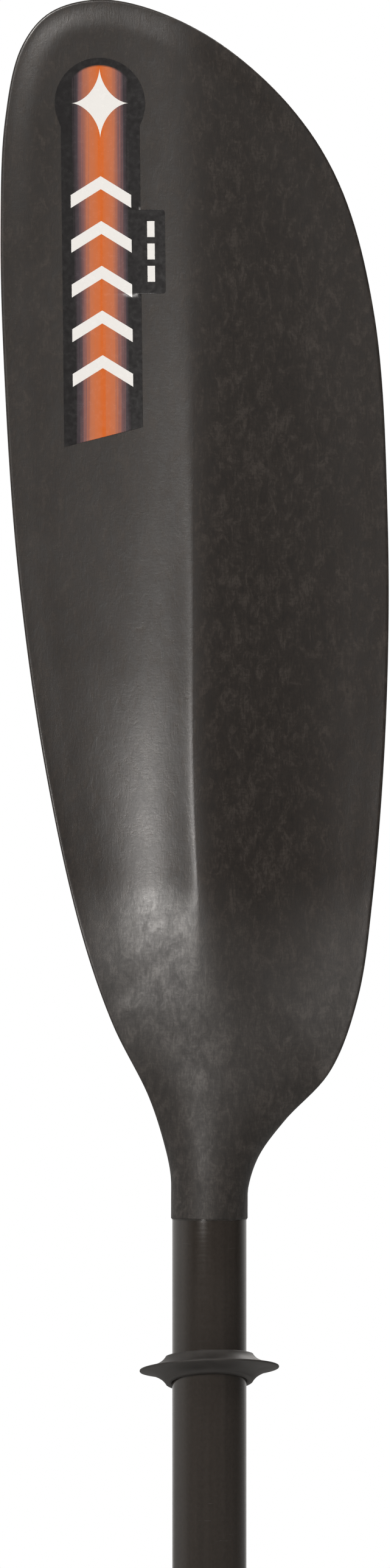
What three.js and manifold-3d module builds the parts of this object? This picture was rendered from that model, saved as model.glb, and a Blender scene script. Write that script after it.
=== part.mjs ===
// A two-piece touring kayak paddle, standing upright, in millimetres.
// The origin is on the shaft axis at the ferrule joint, halfway between the blade tips.
// +Z runs up the shaft, the power faces of both blades look towards -Y, and X runs across them.
import * as THREE from "three";
import { mergeVertices } from "three/addons/utils/BufferGeometryUtils.js";
import Module from "manifold-3d";

const wasm = await Module();
wasm.setup();

// ---------------------------------------------------------------- driving dimensions

const TIP_HEIGHT = 1100; // from the ferrule joint to each blade tip
const BLADE_LENGTH = 492; // from the tip to the mouth of the blade's neck
const NECK_Z = TIP_HEIGHT - BLADE_LENGTH;

const SHAFT_R = 15;
const BORE_R = 13.2;
const STEP_R = 14.5; // the ground end of the tube, inside the neck's lip
const LIP_DEPTH = 14;
const LIP_R = 14.65; // bore of the lip
const NECK_R = 15.5;
const SPIGOT_R = 13; // the neck's core, inside the tube
const SPIGOT_LENGTH = 45;
const ROUND = 36; // sides of a round piece
const GAP = 0.3; // between two pieces that touch

const INSERT_R = 12.6; // the male tube of the ferrule
const INSERT_BORE_R = 10.4;
const INSERT_REACH = 180; // how far it goes down into the lower shaft
const INSERT_BOND = 56; // how far it is bonded into the upper shaft
const FLANGE = { r: 15.2, low: 0.2, high: 3.2 };
const SCALE = { r: 12.95, low: -104, high: -6 }; // the printed film round the male tube
const BUSH = { r: 13, boreR: 12, groove: 11.8, low: -172, high: -160, split: 2 };

const COLLAR = { boreR: 15.25, r: 19, edge: 1.5, low: -32, high: -0.6 };
const LUG = { out: 27.5, halfWidth: 6.7, low: -25, high: -9, gap: 2.4 };
const SCREW = { x: 23, z: -17, r: 2, headR: 3.9, headLength: 3.5, holeR: 2.3, tipY: -18.3 };
const SOCKET = { r: 1.7, depth: 2 };
const WASHER = { r: 4.6, thickness: 1 };
const CAM_PAD = { reach: 4.4, thickness: 1.2 };
const PIVOT = { y: -15.1, r: 3.6, holeR: 3.85, length: 13.6 };
const LEVER = { inR: 19.7, outR: 23.2, height: 15, camR: 6, camThrow: 0.6, slot: 5.6 };
const LEVER_TURN = { root: -33, shoulder: -66, tab: -146, end: -172 }; // round the shaft, degrees
const LEVER_FLARE = { inner: 1.6, outer: 3.4 }; // how far the thumb tab turns out
const LEVER_EDGE = { deep: 0.8, wide: 0.6 }; // its bevelled edges
const SLIT = { width: 1.6, end: -40, holeR: 1.6 };

const RING_DROP = 60.6; // drip ring's middle, below the neck's mouth
const RING_R = 28.2;
const RING_HALF = 5.9;
const RING_BORE_R = SHAFT_R + 0.25;
const RING_TILT = THREE.MathUtils.degToRad(-10); // the upper ring sits crooked on the shaft
const RING_ROLL = THREE.MathUtils.degToRad(-1.9);

// ---------------------------------------------------------------- colours

const plastic = (color, roughness) =>
  new THREE.MeshStandardMaterial({ color, roughness, metalness: 0 });
const metal = (color, roughness) =>
  new THREE.MeshStandardMaterial({ color, roughness, metalness: 1 });
const BLADE_NYLON = plastic(0x2a2623, 0.34);
const SHAFT_LAMINATE = plastic(0x302c28, 0.3);
const RUBBER = plastic(0x2a2826, 0.7);
const LABEL_FILM = plastic(0x1a1817, 0.25);
const FERRULE_NYLON = plastic(0x232120, 0.5);
const FOAM = plastic(0x3b3a38, 0.9);
const PALE_FILM = plastic(0xc9c6bf, 0.4);
const STEEL = metal(0xb4b4b2, 0.3);

// ---------------------------------------------------------------- geometry helpers

const { lerp, smoothstep, clamp } = THREE.MathUtils;

// A closed solid through rows of points, each row a closed loop with the same number of
// points. The ends are closed with a point in the middle of the first and the last row.
function loft(rows) {
  const count = rows[0].length;
  const middle = (row) =>
    row.reduce((sum, p) => sum.add(p), new THREE.Vector3()).divideScalar(count);
  const points = [middle(rows[0]), ...rows.flat(), middle(rows.at(-1))];
  const last = points.length - 1;
  const at = (row, k) => 1 + row * count + (k % count);
  const index = [];
  for (let k = 0; k < count; k++) {
    index.push(0, at(0, k), at(0, k + 1));
    index.push(last, at(rows.length - 1, k + 1), at(rows.length - 1, k));
    for (let row = 0; row + 1 < rows.length; row++) {
      index.push(at(row, k), at(row + 1, k), at(row, k + 1));
      index.push(at(row, k + 1), at(row + 1, k), at(row + 1, k + 1));
    }
  }
  const geometry = new THREE.BufferGeometry().setFromPoints(points);
  geometry.setIndex(index);
  return geometry;
}

// A piece turned about Z. The profile is a list of [radius, z], counter-clockwise from the axis
// or closed on itself, with its inside on the left.
function turned(profile, sides = ROUND) {
  const points = profile.map(([r, z]) => new THREE.Vector2(r, z));
  return new THREE.LatheGeometry(points, sides).rotateX(Math.PI / 2);
}

// A closed ring profile with its first point repeated at the end.
const ringProfile = (...corners) => [...corners, corners[0]];

const tube = (inR, outR, low, high) =>
  turned(ringProfile([inR, low], [outR, low], [outR, high], [inR, high]));

const rod = (r, low, high, sides) => turned([[0, low], [r, low], [r, high], [0, high]], sides);

const box = (x0, x1, y0, y1, z0, z1) =>
  new THREE.BoxGeometry(x1 - x0, y1 - y0, z1 - z0).translate(
    (x0 + x1) / 2,
    (y0 + y1) / 2,
    (z0 + z1) / 2,
  );

// A geometry as a manifold-3d solid, for a cut or a join.
function solid(geometry) {
  const bare = geometry.clone();
  bare.deleteAttribute("normal");
  bare.deleteAttribute("uv");
  const merged = mergeVertices(bare, 1e-4);
  const made = new wasm.Manifold(
    new wasm.Mesh({
      numProp: 3,
      vertProperties: merged.attributes.position.array,
      triVerts: new Uint32Array(merged.index.array),
    }),
  );
  return made;
}

function geometryOf(made) {
  const mesh = made.getMesh();
  return new THREE.BufferGeometry()
    .setAttribute("position", new THREE.BufferAttribute(mesh.vertProperties, 3))
    .setIndex(new THREE.BufferAttribute(mesh.triVerts, 1));
}

const cut = (geometry, ...tools) =>
  geometryOf(tools.reduce((made, tool) => made.subtract(solid(tool)), solid(geometry)));

function piece(name, geometry, material) {
  geometry.deleteAttribute("normal");
  geometry.computeVertexNormals();
  const mesh = new THREE.Mesh(geometry, material);
  mesh.name = name;
  return mesh;
}

// ---------------------------------------------------------------- blade

// The blade's outline, as [across from the shaft axis, distance below the tip]. Both edges
// start at the crown. The long edge is on the -X side and the cut-away edge on the +X side.
const CROWN = [-46.5, 0];
const LONG_EDGE = [
  CROWN, [-64.9, 5.5], [-76, 19.3], [-82.6, 48.8], [-84.4, 93], [-83.1, 147.2], [-77.9, 226],
  [-67.4, 304.5], [-52.6, 373.4], [-39.3, 412.7], [-24.6, 442.3], [-18.2, 461.9],
  [-15.7, 474], [-15.5, 484], [-15.5, 492],
];
const CUT_EDGE = [
  CROWN, [-25.6, 3.1], [3.9, 17.3], [33.4, 43.6], [53.1, 75.1], [66.9, 127.5], [72.3, 210],
  [71.6, 290], [66, 363.6], [60, 402.9], [48.7, 432.4], [30.5, 452.1], [20, 466.5],
  [15.8, 479], [15.5, 486], [15.5, 492],
];
const OUTLINE_STEPS = 800;

// The outline as one fine polyline, from the foot of the cut-away edge over the crown to the
// foot of the long edge, with the crown's top at zero.
const outline = new THREE.CatmullRomCurve3(
  [...CUT_EDGE.toReversed(), ...LONG_EDGE.slice(1)].map(
    ([x, below]) => new THREE.Vector3(x, below, 0),
  ),
  false,
  "centripetal",
).getSpacedPoints(OUTLINE_STEPS);
const crownRow = outline.indexOf(outline.reduce((top, p) => (p.y < top.y ? p : top)));
const crownTop = outline[crownRow].y;
for (const p of outline) p.y -= crownTop;
const longEdge = outline.slice(crownRow);
const cutEdge = outline.slice(0, crownRow + 1).reverse();

// Where an edge is, across from the shaft axis, at a distance below the tip.
function edgeAt(line, below) {
  const next = line.findIndex((p) => p.y >= below);
  if (next <= 0) return next === 0 ? line[0].x : line.at(-1).x;
  const [a, b] = [line[next - 1], line[next]];
  return lerp(a.x, b.x, (below - a.y) / (b.y - a.y));
}

// How far a point of the blade's plan is from the nearest edge.
const fromEdge = (x, below) =>
  Math.min(...outline.map((p) => Math.hypot(p.x - x, p.y - below)));

// The dihedral's ridge runs a little to the long edge's side of the shaft axis.
const RIDGE_X = -6.5;
const THROAT = 118; // where the neck's boss runs out on the ridge, above the neck's mouth
const THROAT_FRONT = 4.4; // the power face there, forward of the shaft axis
const THROAT_SLOPE = -0.08;
const SAG = 3.85; // how far the ridge dips behind the shaft axis
const SAG_UP = 225;
const TIP_FORWARD = 12.5;
const FLANK_SLOPE = 0.33; // of each flank where it leaves the ridge
const DIHEDRAL_AT_TIP = 0.3; // the share of the dihedral that is left at the tip
const LONG_SCOOP = 18.5; // how far each flank goes before it levels out
const CUT_SCOOP = 29.4;
const EDGE_RISE = 0.8; // how far the edges come forward again
const LONG_EDGE_RISE = 2.8; // the long edge's, by the throat
const BOSS_REACH = 46;
const RIM_HALF = 0.75; // half the plate's thickness at its edge
const RIDGE_HALF = 2.15; // and on the ridge
const NECK_HALF = 0.3; // what is left of the plate inside the neck

const ridgeX = (up) => RIDGE_X * smoothstep(up, 20, 200);
const onLongSide = (x, up) => x < ridgeX(up);
function sideWidth(x, up) {
  const side = edgeAt(onLongSide(x, up) ? longEdge : cutEdge, BLADE_LENGTH - up);
  return Math.max(1, Math.abs(side - ridgeX(up)));
}

// A height that is level at its start and reaches the throat with the blade's own slope.
function toThroat(up, low, start, end) {
  const t = clamp((up - low) / (THROAT - low), 0, 1);
  const swing = 3 * t ** 2 - 2 * t ** 3;
  return lerp(start, end, swing) + (t ** 3 - t ** 2) * (THROAT - low) * THROAT_SLOPE;
}

// How far the plate's middle stands forward of the shaft axis, on the ridge.
function ridgeLine(up) {
  const atThroat = THROAT_FRONT - RIDGE_HALF;
  if (up < THROAT) return toThroat(up, 20, 0, atThroat);
  if (up < SAG_UP) return toThroat(up, SAG_UP, -SAG, atThroat);
  return (SAG + TIP_FORWARD) * ((up - SAG_UP) / (BLADE_LENGTH - SAG_UP)) ** 2 - SAG;
}

// How far the edges come forward again, past the scoops.
function edgeRise(x, up) {
  const atThroat = onLongSide(x, up) ? LONG_EDGE_RISE : EDGE_RISE;
  const most = lerp(atThroat, EDGE_RISE, smoothstep(up, 110, 280));
  const share = smoothstep(BLADE_LENGTH - up, 0, 60) * smoothstep(up, 40, 170);
  return most * share * clamp(Math.abs(x - ridgeX(up)) / sideWidth(x, up), 0, 1) ** 3.5;
}

// How far the plate's middle stands forward of the shaft axis, anywhere on the blade.
function middleSurface(x, up) {
  const below = BLADE_LENGTH - up;
  const share = lerp(DIHEDRAL_AT_TIP, 1, smoothstep(below, 0, 330)) * smoothstep(up, 55, 135);
  const scoop = onLongSide(x, up) ? LONG_SCOOP : CUT_SCOOP;
  const crisp = onLongSide(x, up) ? lerp(16, 1.6, smoothstep(up, 95, 135)) : 15;
  const blunt = lerp(12, crisp, smoothstep(below, 20, 260));
  const fall = Math.hypot(x - ridgeX(up), blunt) - blunt;
  return ridgeLine(up) - share * FLANK_SLOPE * scoop * Math.tanh(fall / scoop) + edgeRise(x, up);
}

// Half the thickness of the blade's plate, thin at the edge and thicker inwards.
function plateHalf(x, up) {
  const d = fromEdge(x, BLADE_LENGTH - up);
  const thin = lerp(0.3, 0.9, smoothstep(up, BLADE_LENGTH - 110, BLADE_LENGTH - 20));
  const inner = (RIDGE_HALF - RIM_HALF - thin) * smoothstep(d, 8, 55);
  const full = RIM_HALF + thin * smoothstep(d, 0.5, 12) + inner;
  return lerp(NECK_HALF, full, smoothstep(up, LIP_DEPTH, 45));
}

// A swelling over the plate: round at the neck's mouth, bell-shaped further up.
const bell = (q, power) => Math.max(0, 1 - q * q) ** power;

// The power face. The neck runs out on it as a wide soft boss.
function frontFace(x, up) {
  const plate = middleSurface(x, up) + plateHalf(x, up);
  if (up >= THROAT) return plate;
  const widen = onLongSide(x, up) ? 1.15 : 0.9;
  const reach = Math.min(sideWidth(x, up), 3 + (THROAT - up) * widen, BOSS_REACH);
  const half = lerp(NECK_HALF, RIDGE_HALF, smoothstep(up, LIP_DEPTH, 45));
  const swell = Math.max(0, toThroat(up, 12, NECK_R, THROAT_FRONT) - ridgeLine(up) - half);
  const power = lerp(0.5, 1.9, smoothstep(up, LIP_DEPTH, 95));
  return plate + swell * bell((x - ridgeX(up)) / reach, power);
}

// On the back the shaft's line goes on up the blade as a long tapering spine.
function backFace(x, up) {
  const reach = Math.min(sideWidth(x, up), lerp(24, 11, smoothstep(up, 60, 330)));
  const swell = (NECK_R - NECK_HALF) * (1 - smoothstep(up, 5, 345)) ** 1.2;
  const power = lerp(0.5, 1.6, smoothstep(up, LIP_DEPTH, 80));
  return middleSurface(x, up) - plateHalf(x, up) - swell * bell((x - ridgeX(up)) / reach, power);
}

const HALF_COLUMNS = 7; // from an edge to the ridge, closer together at both ends

// One closed loop round the blade at a height above the neck's mouth: the front from the long
// edge to the cut-away edge, then the back the other way.
function bladeLoop(up) {
  const below = BLADE_LENGTH - up;
  const [left, right] = [edgeAt(longEdge, below), edgeAt(cutEdge, below)];
  const ridge = clamp(ridgeX(up), left * 0.6 + right * 0.4, left * 0.4 + right * 0.6);
  const ease = (k) => (1 - Math.cos((Math.PI * k) / HALF_COLUMNS)) / 2;
  const across = [];
  for (let k = 0; k < HALF_COLUMNS; k++) across.push(lerp(left, ridge, ease(k)));
  for (let k = 0; k <= HALF_COLUMNS; k++) across.push(lerp(ridge, right, ease(k)));
  const at = (x, forward) => new THREE.Vector3(x, -forward, up);
  return [
    ...across.map((x) => at(x, frontFace(x, up))),
    ...across.toReversed().map((x) => at(x, backFace(x, up))),
  ];
}

const BLADE_COLUMNS = 4 * HALF_COLUMNS + 2;

// A round loop with as many points as a blade loop, in the same order and sense.
function roundLoop(r, up) {
  return Array.from({ length: BLADE_COLUMNS }, (_, k) => {
    const turn = Math.PI + (2 * Math.PI * (k + 0.5)) / BLADE_COLUMNS;
    return new THREE.Vector3(r * Math.cos(turn), r * Math.sin(turn), up);
  });
}

// Distances below the tip of the blade's loops: crowded at the crown, closer at the shoulders.
function stations() {
  const crown = Array.from({ length: 9 }, (_, i) => 56 * ((i + 1) / 9) ** 2);
  const body = Array.from({ length: 12 }, (_, i) => 56 + 25 * (i + 1));
  const shoulder = Array.from({ length: 12 }, (_, i) => 356 + 10.3 * (i + 1));
  return [0.12, ...crown, ...body, ...shoulder, BLADE_LENGTH - 6, BLADE_LENGTH];
}

function bladeGeometry() {
  return loft([
    ...stations().map((below) => bladeLoop(BLADE_LENGTH - below)),
    roundLoop(LIP_R, 0),
    roundLoop(LIP_R, LIP_DEPTH),
    roundLoop(SPIGOT_R, LIP_DEPTH),
    roundLoop(SPIGOT_R, -SPIGOT_LENGTH + 2),
    roundLoop(SPIGOT_R - 2, -SPIGOT_LENGTH),
  ]);
}

// ---------------------------------------------------------------- blade label

// A long film label on the front of the blade, beside the long edge: a round head towards the
// tip, and a slanted lower end.
const LABEL = { x: -44, halfWidth: 16, top: 23, bottom: 172, slant: 8, lift: 0.4, film: 0.25 };

function labelGeometry() {
  const rows = [];
  const columns = 4;
  const arcSteps = 5;
  const stripSteps = 7;
  const addRow = (below, left, right, slant) => {
    const under = [];
    const over = [];
    for (let k = 0; k <= columns; k++) {
      const x = lerp(left, right, k / columns);
      const up = BLADE_LENGTH - below - slant * (1 - k / columns);
      const face = frontFace(x, up) + LABEL.lift;
      over.push(new THREE.Vector3(x, -face - LABEL.film, up));
      under.unshift(new THREE.Vector3(x, -face, up));
    }
    rows.push([...over, ...under]);
  };
  const { x, halfWidth, top, bottom, slant } = LABEL;
  for (let i = 1; i <= arcSteps; i++) {
    const turn = (Math.PI / 2) * (i / arcSteps);
    const half = halfWidth * Math.sin(turn);
    addRow(top + halfWidth * (1 - Math.cos(turn)), x - half, x + half, 0);
  }
  for (let i = 1; i <= stripSteps; i++) {
    const below = lerp(top + halfWidth, bottom, i / stripSteps);
    addRow(below, x - halfWidth, x + halfWidth, (slant * i) / stripSteps);
  }
  return loft(rows);
}

// ---------------------------------------------------------------- shafts

// A shaft tube from its ferrule end to inside the blade's neck.
function shaftGeometry(ferruleEnd) {
  const shoulder = NECK_Z - GAP / 2;
  const end = NECK_Z + LIP_DEPTH - GAP;
  return turned(
    ringProfile(
      [BORE_R, ferruleEnd], [SHAFT_R, ferruleEnd], [SHAFT_R, shoulder], [STEP_R, shoulder],
      [STEP_R, end], [BORE_R, end],
    ),
  );
}

// The lower shaft's open end is slit in four, so that the collar can close it on the male tube.
function slitShaftGeometry(ferruleEnd) {
  const half = SLIT.width / 2;
  const top = -ferruleEnd + 1;
  const reach = SHAFT_R + 2;
  const cutters = [
    box(-half, half, -reach, reach, SLIT.end, top),
    box(-reach, reach, -half, half, SLIT.end, top),
    rod(SLIT.holeR, -reach, reach, 12).rotateX(Math.PI / 2).translate(0, 0, SLIT.end),
    rod(SLIT.holeR, -reach, reach, 12).rotateY(Math.PI / 2).translate(0, 0, SLIT.end),
  ];
  return cut(shaftGeometry(ferruleEnd).rotateX(Math.PI), ...cutters);
}

const SEAL = { low: -2.7, high: -0.8 };
const LOWER_SHAFT_END = 3; // the lower tube stops this far below the joint, under the seal
const PLUG = { r: 13, length: 26, upper: 66, lower: -222 };

// ---------------------------------------------------------------- ferrule

// The male tube: bonded into the upper shaft, with a flange that covers the tube's end.
function insertGeometry() {
  const edge = 0.6;
  return turned(
    ringProfile(
      [INSERT_BORE_R, -INSERT_REACH], [INSERT_R, -INSERT_REACH], [INSERT_R, BUSH.low - GAP],
      [BUSH.groove, BUSH.low - GAP], [BUSH.groove, BUSH.high + GAP], [INSERT_R, BUSH.high + GAP],
      [INSERT_R, FLANGE.low], [FLANGE.r - edge, FLANGE.low], [FLANGE.r, FLANGE.low + edge],
      [FLANGE.r, FLANGE.high], [SPIGOT_R, FLANGE.high], [SPIGOT_R, INSERT_BOND],
      [INSERT_BORE_R, INSERT_BOND],
    ),
  );
}

// A nylon ring, split so that it can be sprung into the male tube's groove.
function bushGeometry() {
  const half = BUSH.split / 2;
  const split = box(0, BUSH.r + 1, -half, half, BUSH.low - 1, BUSH.high + 1);
  return cut(tube(BUSH.boreR, BUSH.r, BUSH.low, BUSH.high), split);
}

const CAP = { inset: 0.2, rim: 3, edge: 0.8, reach: 9 };

function endCapGeometry() {
  const top = -INSERT_REACH - GAP;
  const low = top - CAP.rim;
  const high = top + CAP.reach;
  const r = INSERT_R - CAP.inset;
  const plugR = INSERT_BORE_R - CAP.inset;
  return turned([
    [0, low], [r - CAP.edge, low], [r, low + CAP.edge], [r, top], [plugR, top], [plugR, high],
    [0, high],
  ]);
}

// Both lugs in one block, with round outer corners, pushed out along Y.
function lugGeometry() {
  const shape = new THREE.Shape();
  const inX = COLLAR.boreR + 1;
  const round = 4;
  shape.moveTo(inX, LUG.low);
  shape.lineTo(LUG.out - round, LUG.low);
  shape.absarc(LUG.out - round, LUG.low + round, round, -Math.PI / 2, 0);
  shape.lineTo(LUG.out, LUG.high - round);
  shape.absarc(LUG.out - round, LUG.high - round, round, 0, Math.PI / 2);
  shape.lineTo(inX, LUG.high);
  shape.closePath();
  const depth = 2 * LUG.halfWidth;
  return new THREE.ExtrudeGeometry(shape, { depth, bevelEnabled: false, curveSegments: 5 })
    .rotateX(Math.PI / 2)
    .translate(0, LUG.halfWidth, 0);
}

// The clamp: a split band with two lugs, drawn together by the screw and the cam lever.
function collarGeometry() {
  const { boreR, r, edge, low, high } = COLLAR;
  const band = turned(
    ringProfile(
      [boreR, low], [r - edge, low], [r, low + edge], [r, high - edge], [r - edge, high],
      [boreR, high],
    ),
  );
  const joined = solid(band).add(solid(lugGeometry()));
  const gap = box(boreR - 2, LUG.out + 1, -LUG.gap / 2, LUG.gap / 2, low - 1, high + 1);
  const hole = rod(SCREW.holeR, -LUG.halfWidth - 1, LUG.halfWidth + 1, 16)
    .rotateX(Math.PI / 2)
    .translate(SCREW.x, 0, SCREW.z);
  const bore = rod(boreR, low - 1, high + 1);
  return geometryOf(joined.subtract(solid(bore)).subtract(solid(gap)).subtract(solid(hole)));
}

const WASHER_Y = LUG.halfWidth + GAP;
const HEAD_Y = WASHER_Y + WASHER.thickness + GAP;

// The screw lies across the lugs, its head on +Y and its tip in the lever's pivot.
function screwGeometry() {
  const head = HEAD_Y + SCREW.headLength;
  const { r, headR, tipY } = SCREW;
  const tipEdge = 0.5;
  const headEdge = 0.4;
  const profile = [
    [0, tipY], [r - tipEdge, tipY], [r, tipY + tipEdge], [r, HEAD_Y],
    [headR, HEAD_Y], [headR, head - headEdge], [headR - headEdge, head], [0, head],
  ];
  const socket = rod(SOCKET.r, head - SOCKET.depth, head + 1, 6);
  return cut(turned(profile, 20), socket)
    .rotateX(-Math.PI / 2)
    .translate(SCREW.x, 0, SCREW.z);
}

function washerGeometry() {
  return tube(SCREW.holeR, WASHER.r, WASHER_Y, WASHER_Y + WASHER.thickness)
    .rotateX(-Math.PI / 2)
    .translate(SCREW.x, 0, SCREW.z);
}

// The plate that the cam rubs on, between the lever and the collar's lug.
function camPadGeometry() {
  const { reach, thickness } = CAM_PAD;
  const high = -LUG.halfWidth - GAP;
  const low = high - thickness;
  const plate = box(-reach, reach, low, high, -reach, reach);
  const hole = rod(SCREW.holeR, low - 1, high + 1, 16).rotateX(-Math.PI / 2);
  return cut(plate, hole).translate(SCREW.x, 0, SCREW.z);
}

// The pivot is a cross-drilled pin: the lever turns on it and the screw's tip holds it.
function pivotGeometry() {
  const half = PIVOT.length / 2;
  const pin = rod(PIVOT.r, -half, half, 24);
  const hole = rod(SCREW.holeR, -PIVOT.r - 1, PIVOT.r + 1, 16).rotateX(Math.PI / 2);
  return cut(pin, hole).translate(SCREW.x, PIVOT.y, SCREW.z);
}

// The lever's arm, seen along the shaft: it lies round the front of the collar, and its free
// end turns out into a thumb tab.
function leverShape() {
  const { inR, outR, camR, camThrow } = LEVER;
  const { root, shoulder, tab, end } = LEVER_TURN;
  const polar = (r, degrees) => {
    const turn = THREE.MathUtils.degToRad(degrees);
    return new THREE.Vector2(r * Math.cos(turn), r * Math.sin(turn));
  };
  const steps = 14;
  const along = (count, point) => Array.from({ length: count + 1 }, (_, i) => point(i));
  const inner = along(steps, (i) => {
    const flare = LEVER_FLARE.inner * smoothstep(i, steps - 3, steps);
    return polar(inR + flare, lerp(root, end, i / steps));
  });
  const outer = along(steps, (i) => {
    const turn = lerp(end, shoulder, i / steps);
    return polar(outR + LEVER_FLARE.outer * smoothstep(-turn, -tab, -end), turn);
  });
  const camCentre = new THREE.Vector2(SCREW.x, PIVOT.y + camThrow);
  const cam = along(10, (i) => polar(camR, lerp(-100, 140, i / 10)).add(camCentre));
  return new THREE.Shape([...inner, ...outer, ...cam].reverse());
}

function leverGeometry() {
  const { height, slot, camR } = LEVER;
  const depth = height - 2 * LEVER_EDGE.deep;
  const arm = new THREE.ExtrudeGeometry(leverShape(), {
    depth,
    bevelThickness: LEVER_EDGE.deep,
    bevelSize: LEVER_EDGE.wide,
    bevelOffset: -LEVER_EDGE.wide,
    bevelSegments: 1,
  }).translate(0, 0, SCREW.z - depth / 2);
  const hole = rod(PIVOT.holeR, SCREW.z - height, SCREW.z + height, 24)
    .translate(SCREW.x, PIVOT.y, 0);
  // The slot lets the screw through as the lever swings.
  const fork = box(
    SCREW.x - SCREW.holeR - GAP, SCREW.x + camR + 4, PIVOT.y - camR - 3, PIVOT.y + camR + 3,
    SCREW.z - slot / 2, SCREW.z + slot / 2,
  );
  return cut(arm, hole, fork);
}

// ---------------------------------------------------------------- drip rings

// Half of the ring's section, from the hub's end out to the thin rim.
const RING_SECTION = [[17.2, RING_HALF], [18.3, 5.1], [21.6, 2.2], [RING_R, 0.4]];

// The ring as it is moulded, turned by tilt and roll, and bored in line with the shaft.
function dripRingGeometry(tilt, roll) {
  const lower = RING_SECTION.map(([r, z]) => [r, -z]);
  const blank = turned([[0, -RING_HALF], ...lower, ...RING_SECTION.toReversed(), [0, RING_HALF]]);
  blank.rotateX(tilt).rotateY(roll);
  return cut(blank, rod(RING_BORE_R, -2 * RING_HALF, 2 * RING_HALF));
}

// ---------------------------------------------------------------- assembly

const paddle = new THREE.Group();

// Upper half: the half with the male tube.
const upper = new THREE.Group();
const upperBlade = new THREE.Group();
upperBlade.position.z = NECK_Z;
upperBlade.add(
  piece("upper_blade", bladeGeometry(), BLADE_NYLON),
  piece("upper_blade_label", labelGeometry(), LABEL_FILM),
);
upper.add(
  upperBlade,
  piece("upper_shaft", shaftGeometry(FLANGE.high + GAP), SHAFT_LAMINATE),
  piece("upper_shaft_plug", rod(PLUG.r, PLUG.upper, PLUG.upper + PLUG.length), FOAM),
  piece("ferrule_insert", insertGeometry(), FERRULE_NYLON),
  piece("length_scale", tube(INSERT_R + 0.15, SCALE.r, SCALE.low, SCALE.high), PALE_FILM),
  piece("guide_bush", bushGeometry(), FERRULE_NYLON),
  piece("insert_end_cap", endCapGeometry(), RUBBER),
);

// Lower half: the half with the clamp. Its blade is the mirror image of the upper one.
const lower = new THREE.Group();
const lowerBlade = new THREE.Group();
lowerBlade.position.z = -NECK_Z;
lowerBlade.scale.z = -1;
lowerBlade.add(
  piece("lower_blade", bladeGeometry(), BLADE_NYLON),
  piece("lower_blade_label", labelGeometry(), LABEL_FILM),
);
lower.add(
  lowerBlade,
  piece("lower_shaft", slitShaftGeometry(LOWER_SHAFT_END), SHAFT_LAMINATE),
  piece("lower_shaft_plug", rod(PLUG.r, PLUG.lower, PLUG.lower + PLUG.length), FOAM),
  piece("wiper_seal", tube(BORE_R, SHAFT_R, SEAL.low, SEAL.high), RUBBER),
  piece("clamp_collar", collarGeometry(), FERRULE_NYLON),
  piece("clamp_screw", screwGeometry(), STEEL),
  piece("clamp_washer", washerGeometry(), STEEL),
  piece("cam_pad", camPadGeometry(), PALE_FILM),
  piece("lever_pivot", pivotGeometry(), STEEL),
  piece("clamp_lever", leverGeometry(), FERRULE_NYLON),
);

const upperRing = piece("upper_drip_ring", dripRingGeometry(RING_TILT, RING_ROLL), RUBBER);
upperRing.position.z = NECK_Z - RING_DROP;
const lowerRing = piece("lower_drip_ring", dripRingGeometry(0, 0), RUBBER);
lowerRing.position.z = -(NECK_Z - RING_DROP);

paddle.add(upper, lower, upperRing, lowerRing);

export default paddle;
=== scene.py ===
"""The looks of a two-piece touring kayak paddle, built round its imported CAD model.

The paddle stands upright: +Z runs up the shaft and the blades' power faces look to -Y. Lengths
here are in millimetres until a mesh is made; the stage's are in metres. The lower blade is the
upper one mirrored through z = 0.
"""

import math

import bmesh
import bpy
import numpy as np
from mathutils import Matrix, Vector

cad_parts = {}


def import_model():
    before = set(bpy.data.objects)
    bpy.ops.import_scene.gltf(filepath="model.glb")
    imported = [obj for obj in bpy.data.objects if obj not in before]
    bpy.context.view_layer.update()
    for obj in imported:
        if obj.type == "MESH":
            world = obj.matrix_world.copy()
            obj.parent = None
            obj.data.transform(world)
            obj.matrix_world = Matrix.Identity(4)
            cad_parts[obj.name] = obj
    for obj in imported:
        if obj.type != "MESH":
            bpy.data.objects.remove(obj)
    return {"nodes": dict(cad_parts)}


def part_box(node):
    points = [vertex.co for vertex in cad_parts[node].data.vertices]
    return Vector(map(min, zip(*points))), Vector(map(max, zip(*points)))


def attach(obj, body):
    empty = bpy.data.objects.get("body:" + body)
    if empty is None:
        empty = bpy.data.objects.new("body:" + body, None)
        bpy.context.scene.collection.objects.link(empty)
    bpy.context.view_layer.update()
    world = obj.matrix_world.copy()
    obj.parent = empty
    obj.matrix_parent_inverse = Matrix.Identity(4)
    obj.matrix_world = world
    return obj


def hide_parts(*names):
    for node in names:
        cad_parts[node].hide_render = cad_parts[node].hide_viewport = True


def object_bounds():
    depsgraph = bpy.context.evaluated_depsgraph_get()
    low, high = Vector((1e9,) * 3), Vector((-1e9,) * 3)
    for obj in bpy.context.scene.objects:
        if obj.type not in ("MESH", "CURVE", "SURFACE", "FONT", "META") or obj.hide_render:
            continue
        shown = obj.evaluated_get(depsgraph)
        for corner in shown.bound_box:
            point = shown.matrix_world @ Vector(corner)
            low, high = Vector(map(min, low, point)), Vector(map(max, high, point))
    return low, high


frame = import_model()
cad_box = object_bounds()

MM = 0.001


def cad_mm(node):
    """A CAD node's lowest and highest corners, in millimetres."""
    low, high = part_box(node)
    return low / MM, high / MM


# ---------------------------------------------------------------- sizes

SHAFT_R = 15.0
BORE_R = 13.2
NECK_R = 15.5
LIP_R = 14.8
LIP_DEPTH = 14.0
TIP_Z = cad_box[1].z / MM
NECK_Z = cad_mm("upper_shaft")[1].z - LIP_DEPTH + 0.3
BLADE_LENGTH = TIP_Z - NECK_Z

ROUND_SIDES = 96
PIN_SIDES = 48


# ---------------------------------------------------------------- meshes


def in_scene(name, data):
    """A new object in the scene, from a mesh, a lamp or a camera."""
    made = bpy.data.objects.new(name, data)
    bpy.context.scene.collection.objects.link(made)
    return made


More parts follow.
